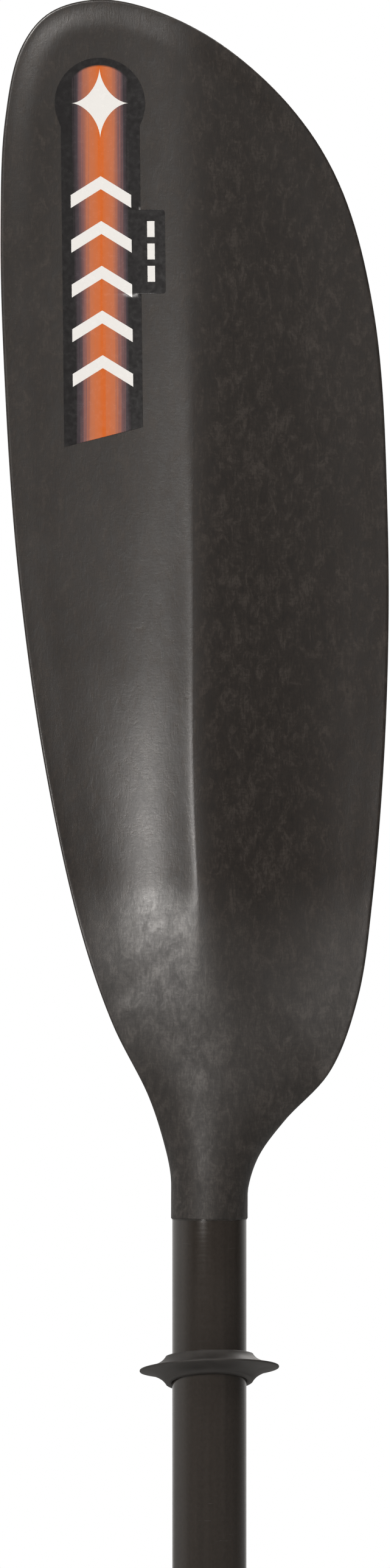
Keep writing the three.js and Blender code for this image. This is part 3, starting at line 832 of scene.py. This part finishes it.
def label_chevrons(paint, below, away):
    """A mask of the row of chevrons down the strip."""
    pitch = CHEVRONS["pitch"]
    start = paint.math("SUBTRACT", below, CHEVRONS["top"])
    climb = paint.math("MULTIPLY_ADD", away, CHEVRONS["slope"], start)
    along = paint.math("MODULO", paint.math("ADD", climb, 10 * pitch), pitch)
    bars = paint.math("LESS_THAN", along, CHEVRONS["bar"])
    across = paint.math("LESS_THAN", away, CHEVRONS["half"])
    in_strip = paint.times(across, paint.math("GREATER_THAN", climb, 0.0))
    before_end = paint.math("LESS_THAN", climb, CHEVRONS["rows"] * pitch)
    in_strip = paint.times(in_strip, before_end)
    return paint.times(bars, in_strip)


def label_dashes(paint, below, side):
    """A mask of the three dashes on the label's side tab."""
    middle = STRIP_HALF + 0.42 * TAB["width"]
    across = paint.math("ABSOLUTE", paint.math("SUBTRACT", side, middle))
    start = DASHES["middle"] - 1.5 * DASHES["pitch"]
    along = paint.math("PINGPONG", paint.math("SUBTRACT", below, start), DASHES["pitch"] / 2)
    in_dash = paint.math("GREATER_THAN", along, DASHES["gap"])
    in_tab = paint.times(paint.math("LESS_THAN", across, DASHES["width"]), in_dash)
    away = paint.math("ABSOLUTE", paint.math("SUBTRACT", below, DASHES["middle"]))
    return paint.times(in_tab, paint.math("LESS_THAN", away, DASHES["half"]))


def label_material():
    """Black gloss film with an orange streak and a plain white print."""
    paint = Paint("label_film", 0.22, IOR=1.5)
    below = paint.math("MULTIPLY_ADD", paint.math("ABSOLUTE", paint.axis(2)), -1 / MM, TIP_Z)
    x = paint.times(paint.axis(0), 1 / MM)
    lean = LABEL_DRIFT / (LABEL_END - HEAD_BELOW)
    middle = paint.math("MULTIPLY_ADD", below, lean, LABEL_X - lean * HEAD_BELOW)
    side = paint.math("SUBTRACT", x, middle)
    away = paint.math("ABSOLUTE", side)
    streak = label_streak(paint, x, below, side)
    bars = paint.math("MAXIMUM", label_chevrons(paint, below, away), label_dashes(paint, below, side))
    print_mask = paint.math("MAXIMUM", label_star(paint, below, away), bars)
    color = paint.blend(print_mask, streak, (0.80, 0.79, 0.77))
    wear = paint.noise(paint.stretched(500, 500, 500), detail=4)
    roughness = paint.span(wear, 0.3, 0.7, 0.2, 0.3)
    return paint.finish(color, roughness, paint.bump(wear, 0.03, 0.0001))


def floor_material():
    """Plain pale paint."""
    paint = Paint("studio_floor", 0.85)
    fine = paint.noise(paint.stretched(30, 30, 30), detail=3)
    return paint.finish(paint.ramp(fine, [(0.3, (0.80, 0.80, 0.79)), (0.7, (0.83, 0.83, 0.82))]))


# ---------------------------------------------------------------- shaft, rings and ferrule

RING_Z = 547.4
RING_TILT = math.radians(-10)  # the upper ring sits crooked on the shaft
RING_ROLL = math.radians(-1.9)
RING_R = 28.2
RING_HALF = 5.5
RING_BORE = 15.1

STEP_R = 14.5  # the ground end of a shaft tube, inside the neck's lip
NECK_GAP = 0.15
SLIT = {"half": 0.8, "end": -40.0, "hole": 1.6, "reach": 18}
BEAD = {"middle": 15.08, "lowest": 0.08, "highest": 0.4, "sides": 10}


def tube_corners(in_r, out_r, low, high, edge):
    """The (r, z, fillet) corners of a plain tube."""
    return [(in_r, low, edge), (out_r, low, edge), (out_r, high, edge), (in_r, high, edge)]


def shafts(material):
    """Both shaft tubes; the lower one's slit end is under the clamp."""
    for name, body in (("upper_shaft", "upper_half"), ("lower_shaft", "lower_half")):
        low, high = cad_mm(name)
        flip = name == "lower_shaft"
        inner, outer = (-high.z, -low.z) if flip else (low.z, high.z)
        neck = NECK_Z - NECK_GAP
        corners = [
            (BORE_R, inner, 0.2),
            (SHAFT_R, inner, 0.3),
            (SHAFT_R, neck, 0.1),
            (STEP_R, neck, 0),
            (STEP_R, outer, 0.1),
            (BORE_R, outer, 0.1),
        ]
        points, faces = turned(split_long(filleted(corners)))
        if flip:
            points[:, 2] *= -1
        piece = new_piece(name + "_tube", points, faces, body, [name], material)
        if flip:
            slit(piece)


def split_long(profile):
    """Adds points on a profile's long straight stretches, so that its quads stay short."""
    longest = 25.0
    out = []
    for a, b in zip(profile, np.roll(profile, -1, axis=0)):
        count = max(1, int(np.linalg.norm(b - a) // longest))
        out.extend(a + (b - a) * t for t in np.arange(count) / count)
    return np.array(out)


def slit(piece):
    """Cuts the four slits, each ending in a round relief hole, that let the clamp close the tube."""
    half, end, reach = SLIT["half"], SLIT["end"], SLIT["reach"]
    for direction in ((1, 0, 0), (0, 1, 0)):
        across = [(-half, -reach), (half, -reach), (half, reach), (-half, reach)]
        plan = across if direction == (0, 1, 0) else [(y, -x) for x, y in across]
        cut(piece, prism("cutter", plan, end, 0))
        cut(piece, drill((0, 0, end), direction, SLIT["hole"], reach))
    piece.data.shade_smooth()
    piece.data.set_sharp_from_angle(angle=math.radians(40))


def ring_profile():
    """A drip ring's section: a low hub and concave flanks that run out to a thin rim."""
    hub = [(RING_BORE, 5.1), (15.4, RING_HALF), (17.2, RING_HALF), (17.7, 5.35), (17.95, 4.9)]
    flank = [(18.6, 4.1), (19.8, 3.05), (21.6, 2.1), (23.6, 1.35), (25.8, 0.8), (27.4, 0.5)]
    rim = [(RING_R - 0.2 + 0.2 * math.cos(a), 0.36 * math.sin(a)) for a in np.linspace(1.2, -1.2, 7)]
    upper = hub + flank
    return upper + rim + [(r, -z) for r, z in reversed(upper)]


def leaning(points):
    """Leans a ring over while its bore stays round the shaft, its lower hub a little more."""
    x, y, z = points.T
    share = mix(0.98, 1, smooth(np.hypot(x, y), RING_BORE, 17.5))
    lean = (math.tan(RING_TILT) * y - math.tan(RING_ROLL) * x) * share
    return np.column_stack([x, y, z + lean - 0.1 * y * smooth(-z, 0.5, 5)])


def drip_rings(material):
    """Both drip rings."""
    profile = np.array(ring_profile())[::-1]
    for name, body, z, shape in (
        ("upper_drip_ring", "upper_ring", RING_Z, leaning),
        ("lower_drip_ring", "lower_ring", -RING_Z, None),
    ):
        points, faces = turned(profile, 128, shape)
        points[:, 2] += z
        new_piece(name + "_moulding", points, faces, body, [name], material, sharp=55)


def adhesive_bead(material):
    """The thin uneven line of adhesive that squeezed out at the neck's mouth."""
    rng = np.random.default_rng(7)
    turn = full_turn(ROUND_SIDES)
    waves = 0
    for n in range(2, 14):
        waves = waves + rng.uniform(0.02, 0.07) * np.sin(n * turn + rng.uniform(0, 6.3))
    size = np.clip(0.24 + 0.35 * waves, BEAD["lowest"], BEAD["highest"])
    section = full_turn(BEAD["sides"])
    for half, sign in (("upper", 1), ("lower", -1)):
        rows = []
        for a, r in zip(turn, size):
            reach = BEAD["middle"] + r * np.cos(section)
            height = sign * (NECK_Z - 0.02 + r * np.sin(section))
            rows.append(np.column_stack([reach * math.cos(a), reach * math.sin(a), height]))
        faces = grid_faces(ROUND_SIDES, BEAD["sides"], close_rows=True)
        name = half + "_adhesive_bead"
        new_piece(name, np.vstack(rows), faces, half + "_half", [], material)


def adhesive_material():
    """Cured adhesive, dark and glossy."""
    paint = Paint("adhesive", 0.15, IOR=1.5)
    cloud = paint.noise(paint.stretched(400, 400, 400), detail=3)
    return paint.finish(paint.ramp(cloud, [(0.3, (0.02, 0.018, 0.016)), (0.7, (0.05, 0.046, 0.042))]))


INSERT_R, INSERT_BORE_R = 12.6, 10.4  # the male tube
BOND_R = 13.0  # where it is bonded into the upper shaft
GROOVE = {"r": 11.8, "low": -172.3, "high": -159.7}  # for the guide bush
FLANGE = {"r": 15.2, "low": 0.2, "high": 3.2}
SCALE_LIFT, SCALE_R = 0.05, 12.95


def ferrule_tube(nylon, scale, rubber):
    """The male tube with its printed scale, and the wiper seal round it."""
    low, high = cad_mm("ferrule_insert")
    corners = [
        (INSERT_BORE_R, low.z, 0.3),
        (INSERT_R, low.z, 0.4),
        (INSERT_R, GROOVE["low"], 0.2),
        (GROOVE["r"], GROOVE["low"], 0),
        (GROOVE["r"], GROOVE["high"], 0),
        (INSERT_R, GROOVE["high"], 0.2),
        (INSERT_R, FLANGE["low"], 0),
        (FLANGE["r"], FLANGE["low"], 0.5),
        (FLANGE["r"], FLANGE["high"], 0.3),
        (BOND_R, FLANGE["high"], 0),
        (BOND_R, high.z, 0.4),
        (INSERT_BORE_R, high.z, 0.3),
    ]
    insert = ["ferrule_insert"]
    round_piece("ferrule_insert_tube", corners, "upper_half", "ferrule_nylon", insert, nylon)
    low, high = cad_mm("length_scale")
    corners = tube_corners(INSERT_R + SCALE_LIFT, SCALE_R, low.z, high.z, 0.05)
    round_piece("length_scale_film", corners, "upper_half", "pale_plastic", ["length_scale"], scale)
    low, high = cad_mm("wiper_seal")
    corners = tube_corners(BORE_R, SHAFT_R, low.z, high.z, 0.4)
    round_piece("wiper_seal_ring", corners, "lower_half", "ring_rubber", ["wiper_seal"], rubber)


SCREW_X, SCREW_Z = 23.0, -17.0
SCREW_HOLE_R = 2.3
PIVOT_Y = -15.1
COLLAR = {"bore": 15.25, "r": 19.0, "gap": 1.2, "sides": 97}  # the gap is half the split's width
LUG = {"in_x": 16.4, "out_x": 27.5, "low": -25.0, "high": -9.0, "round": 4.0, "half": 6.7}
LEVER = {"in_r": 19.7, "out_r": 23.2, "tip_r": 26.6, "cam_r": 6, "cam_throw": 0.6, "hole": 3.85}
LEVER_FLARE = {"inner": 1.6, "outer": 3.4}  # how far the thumb tab turns out
LEVER_TURN = {"root": -33, "shoulder": -66, "tab": -146, "end": -172}  # round the shaft, degrees
LEVER_SLOT = {"x": (20.4, 33), "half_y": 9, "half_z": 2.8}
WASHER = {"r": 4.6, "low": 7.0, "high": 8.0}
SCREW = {"r": 2.0, "head": 8.3, "head_r": 3.9, "head_length": 3.5, "socket": 1.6, "tip": -18.3}


def clamp_collar(material):
    """The split band with its two lugs, drilled for the screw."""
    low, high = cad_mm("clamp_collar")
    gap, bore, outer, sides = COLLAR["gap"], COLLAR["bore"], COLLAR["r"], COLLAR["sides"]
    start = math.asin(gap / outer)
    inner_start = math.asin(gap / bore)
    turn = np.linspace(start, 2 * math.pi - start, sides)
    inner = np.linspace(2 * math.pi - inner_start, inner_start, sides)
    plan = [(outer * math.cos(a), outer * math.sin(a)) for a in turn]
    plan += [(bore * math.cos(a), bore * math.sin(a)) for a in inner]
    band = prism("band", plan, low.z, high.z)
    lugs = []
    for sign in (1, -1):
        lug = prism("lug", lug_outline(), gap, LUG["half"])
        turn_up = Vector((0, 0, 1)).rotation_difference(Vector((0, -1, 0))).to_matrix().to_4x4()
        lug.data.transform(turn_up)
        if sign > 0:
            lug.data.transform(turn_up.Rotation(math.pi, 4, "X"))
            lug.data.transform(turn_up.Translation((0, 0, 2 * SCREW_Z * MM)))
        lugs.append(lug)
    combine(band, lugs, "UNION")
    cut(band, drill((0, 0, SCREW_Z), (0, 0, 1), bore, 30, sides))
    cut(band, drill((SCREW_X, 0, SCREW_Z), (0, 1, 0), SCREW_HOLE_R, 12))
    soften(band, 0.7)
    place(band, "clamp_collar_body", "lower_half", "ferrule_nylon", ["clamp_collar"], material)


def lug_outline():
    """A lug from the side, with rounded outer corners, as (x, z)."""
    out_x, low, high, radius = LUG["out_x"], LUG["low"], LUG["high"], LUG["round"]
    points = [(LUG["in_x"], low)]
    for centre_z, start in ((low + radius, -math.pi / 2), (high - radius, 0.0)):
        for a in np.linspace(start, start + math.pi / 2, 9):
            points.append((out_x - radius + radius * math.cos(a), centre_z + radius * math.sin(a)))
    points.append((LUG["in_x"], high))
    return points


def polar(r, a):
    return (r * math.cos(a), r * math.sin(a))


def lever_outline():
    """The cam lever seen along the shaft: it wraps the collar and its free end turns out."""
    start, stop = math.radians(LEVER_TURN["root"]), math.radians(LEVER_TURN["end"])
    inner = []
    for t in np.linspace(0, 1, 36):
        r = LEVER["in_r"] + LEVER_FLARE["inner"] * smooth(t, 0.8, 1)
        inner.append(polar(r, mix(start, stop, t)))
    inner_tip = LEVER["in_r"] + LEVER_FLARE["inner"]
    tip = []
    for t in (0.25, 0.5, 0.75):
        tip.append(polar(mix(inner_tip, LEVER["tip_r"], t), stop - 0.02 * math.sin(math.pi * t)))
    outer = []
    for t in np.linspace(0.02, 1, 34):
        a = mix(stop, math.radians(LEVER_TURN["shoulder"]), t)
        flare = LEVER_FLARE["outer"] * smooth(-a, -math.radians(LEVER_TURN["tab"]), -stop)
        outer.append(polar(LEVER["out_r"] + flare, a))
    cam = []
    for t in np.linspace(0, 1, 28):
        x, y = polar(LEVER["cam_r"], math.radians(mix(-100, 140, t)))
        cam.append((SCREW_X + x, PIVOT_Y + LEVER["cam_throw"] + y))
    return inner + tip + outer + cam


def clamp_lever(material):
    """The lever, drilled for its pivot and slotted so that the screw clears it as it swings."""
    low, high = cad_mm("clamp_lever")
    lever = prism("lever", lever_outline(), low.z, high.z)
    hole = drill((SCREW_X, PIVOT_Y, SCREW_Z), (0, 0, 1), LEVER["hole"], 12)
    cut(lever, hole)
    x0, x1 = LEVER_SLOT["x"]
    y0, y1 = PIVOT_Y - LEVER_SLOT["half_y"], PIVOT_Y + LEVER_SLOT["half_y"]
    z0, z1 = SCREW_Z - LEVER_SLOT["half_z"], SCREW_Z + LEVER_SLOT["half_z"]
    cut(lever, prism("cutter", [(x0, y0), (x1, y0), (x1, y1), (x0, y1)], z0, z1))
    soften(lever, 0.6)
    place(lever, "clamp_lever_body", "lever", "ferrule_nylon", ["clamp_lever"], material)


def across_lugs(points):
    """Lays a piece turned about Z along Y, at the screw."""
    return np.column_stack([points[:, 0] + SCREW_X, points[:, 2], -points[:, 1] + SCREW_Z])


def at_pivot(points):
    """Moves a piece turned about Z to the lever's pivot."""
    return points + np.array([SCREW_X, PIVOT_Y, 0])


def solid_round(name, corners, body, slot, replaced, material, move):
    """A turned piece that reaches its axis."""
    turn = full_turn(PIN_SIDES)
    rows = [
        np.column_stack([r * np.cos(turn), r * np.sin(turn), np.full(PIN_SIDES, z)])
        for r, z in filleted(corners)
    ]
    points, faces = loft(rows)
    return new_piece(name, move(points), faces, body, replaced, material)


def clamp_hardware(steel, pale):
    """The screw, its washer, the lever's pivot and the plate that the cam rubs on."""
    r, tip, head = SCREW["r"], SCREW["tip"], SCREW["head"]
    top = head + SCREW["head_length"]
    corners = [
        (1.4, tip, 0),
        (r, tip + 0.6, 0),
        (r, head, 0),
        (SCREW["head_r"], head, 0.2),
        (SCREW["head_r"], top, 0.5),
        (1.9, top, 0.1),
        (1.7, head + SCREW["socket"], 0),
    ]
    steel_piece = ("lower_half", "screw_steel")
    solid_round("clamp_screw_body", corners, *steel_piece, ["clamp_screw"], steel, across_lugs)
    corners = tube_corners(SCREW_HOLE_R, WASHER["r"], WASHER["low"], WASHER["high"], 0.15)
    washer = ["clamp_washer"]
    round_piece("clamp_washer_disc", corners, *steel_piece, washer, steel, PIN_SIDES, across_lugs)
    low, high = cad_mm("lever_pivot")
    pin_r, edge = 3.6, 0.6
    corners = [
        (pin_r - edge, low.z, 0),
        (pin_r, low.z + edge, 0),
        (pin_r, high.z - edge, 0),
        (pin_r - edge, high.z, 0),
    ]
    solid_round("lever_pivot_pin", corners, *steel_piece, ["lever_pivot"], steel, at_pivot)
    low, high = cad_mm("cam_pad")
    plan = [(low.x, low.y), (high.x, low.y), (high.x, high.y), (low.x, high.y)]
    pad = prism("pad", plan, low.z, high.z)
    cut(pad, drill((SCREW_X, low.y, SCREW_Z), (0, 1, 0), SCREW_HOLE_R, 5))
    soften(pad, 0.25)
    place(pad, "cam_pad_plate", "lower_half", "pale_plastic", ["cam_pad"], pale)


# ---------------------------------------------------------------- stage, light and camera

FLOOR_Z = -1.13
FLOOR_REACH = 24.0
FLOOR_BACK = 22.0  # its far edge stays under the frame
CAMERA_FAR = 5.0
VIEW_HEIGHT = 0.6334  # what the frame shows at the paddle
VIEW_X = -0.0058
VIEW_Z = 0.7836


def stage():
    """A plain floor a little below the lower blade."""
    reach, back = FLOOR_REACH, FLOOR_BACK
    mesh = bpy.data.meshes.new("floor")
    corners = [(-reach, -reach), (reach, -reach), (reach, back), (-reach, back)]
    corners = [(x, y, FLOOR_Z) for x, y in corners]
    mesh.from_pydata(corners, [], [(0, 1, 2, 3)])
    mesh.materials.append(floor_material())
    floor = in_scene("floor", mesh)


def world():
    """A white studio: what shows behind is white, and the side the camera is on is dim."""
    made = bpy.data.worlds.new("studio")
    bpy.context.scene.world = made
    made.use_nodes = True
    nodes, links = made.node_tree.nodes, made.node_tree.links
    place = nodes.new("ShaderNodeTexCoord").outputs["Generated"]
    split = nodes.new("ShaderNodeSeparateXYZ")
    links.new(place, split.inputs[0])
    lean = nodes.new("ShaderNodeMath")
    lean.operation = "MULTIPLY_ADD"
    lean.inputs[1].default_value = -0.5
    links.new(split.outputs[0], lean.inputs[0])
    links.new(split.outputs[1], lean.inputs[2])
    turn = nodes.new("ShaderNodeMapRange")
    turn.interpolation_type = "SMOOTHSTEP"
    turn.inputs["From Min"].default_value = -0.35
    turn.inputs["From Max"].default_value = 0.65
    turn.inputs["To Min"].default_value = 0.05
    turn.inputs["To Max"].default_value = 0.72
    links.new(lean.outputs[0], turn.inputs["Value"])
    around = nodes.new("ShaderNodeBackground")
    around.inputs["Color"].default_value = (1, 0.985, 0.965, 1)
    links.new(turn.outputs[0], around.inputs["Strength"])
    seen = nodes.new("ShaderNodeBackground")
    seen.inputs["Color"].default_value = (1, 1, 1, 1)
    seen.inputs["Strength"].default_value = 1.0
    share = nodes.new("ShaderNodeLightPath").outputs["Is Camera Ray"]
    mixed = nodes.new("ShaderNodeMixShader")
    links.new(share, mixed.inputs[0])
    links.new(around.outputs[0], mixed.inputs[1])
    links.new(seen.outputs[0], mixed.inputs[2])
    links.new(mixed.outputs[0], nodes["World Output"].inputs["Surface"])


def softbox(name, position, target, size, power):
    """A square area light that is a little warm."""
    lamp = bpy.data.lights.new(name, "AREA")
    lamp.shape = "SQUARE"
    lamp.size = size
    lamp.energy = power
    lamp.color = (1, 0.97, 0.94)
    made = in_scene(name, lamp)
    made.location = position
    made.rotation_mode = "QUATERNION"
    made.rotation_quaternion = (Vector(target) - Vector(position)).to_track_quat("-Z", "Y")


def lights():
    """A key from the left for each blade, one from high up behind, and a weak fill from the right."""
    for name, side in (("key", 1), ("low_key", -1)):
        softbox(name, (-1.0, -2.65, side * 1.66), (0, 0, side * 0.8), 0.6, 66)
    softbox("fill", (1.4, -1.6, 3.2), (0, 0, 0), 1.4, 30)
    softbox("back", (0.8, 2.6, 2.2), (0, 0, 0), 1.6, 40)


def camera():
    """Straight in front of the upper blade."""
    data = bpy.data.cameras.new("camera")
    data.type = "PERSP"
    data.sensor_width = 36.0
    data.lens = data.sensor_width * CAMERA_FAR / VIEW_HEIGHT
    data.clip_end = 200.0
    made = in_scene("camera", data)
    made.location = (VIEW_X, -CAMERA_FAR, VIEW_Z)
    made.rotation_euler = (math.pi / 2, 0, 0)
    bpy.context.scene.camera = made
    bpy.context.scene.view_settings.view_transform = "Standard"


# ---------------------------------------------------------------- the whole paddle


def give_material(node, material):
    """A better material for a CAD node that stays as it is."""
    data = frame["nodes"][node].data
    data.materials.clear()
    data.materials.append(material)


def main():
    """Builds every piece, then the studio round them."""
    nylon, laminate, rubber = blade_material(), shaft_material(), rubber_material()
    film, ferrule, steel = label_material(), ferrule_material(), steel_material()
    pale, foam = pale_material(), foam_material()

    blade("upper_blade_moulding", False, "upper_half", ["upper_blade"], nylon)
    blade("lower_blade_moulding", True, "lower_half", ["lower_blade"], nylon)
    label("upper_label_film", False, "upper_half", ["upper_blade_label"], film)
    label("lower_label_film", True, "lower_half", ["lower_blade_label"], film)
    shafts(laminate)
    drip_rings(rubber)
    adhesive_bead(adhesive_material())
    ferrule_tube(ferrule, scale_material(), rubber)
    clamp_collar(ferrule)
    clamp_lever(ferrule)
    clamp_hardware(steel, pale)
    give_material("upper_shaft_plug", foam)
    give_material("lower_shaft_plug", foam)
    give_material("guide_bush", ferrule)
    give_material("insert_end_cap", rubber)

    stage()
    world()
    lights()
    camera()


main()
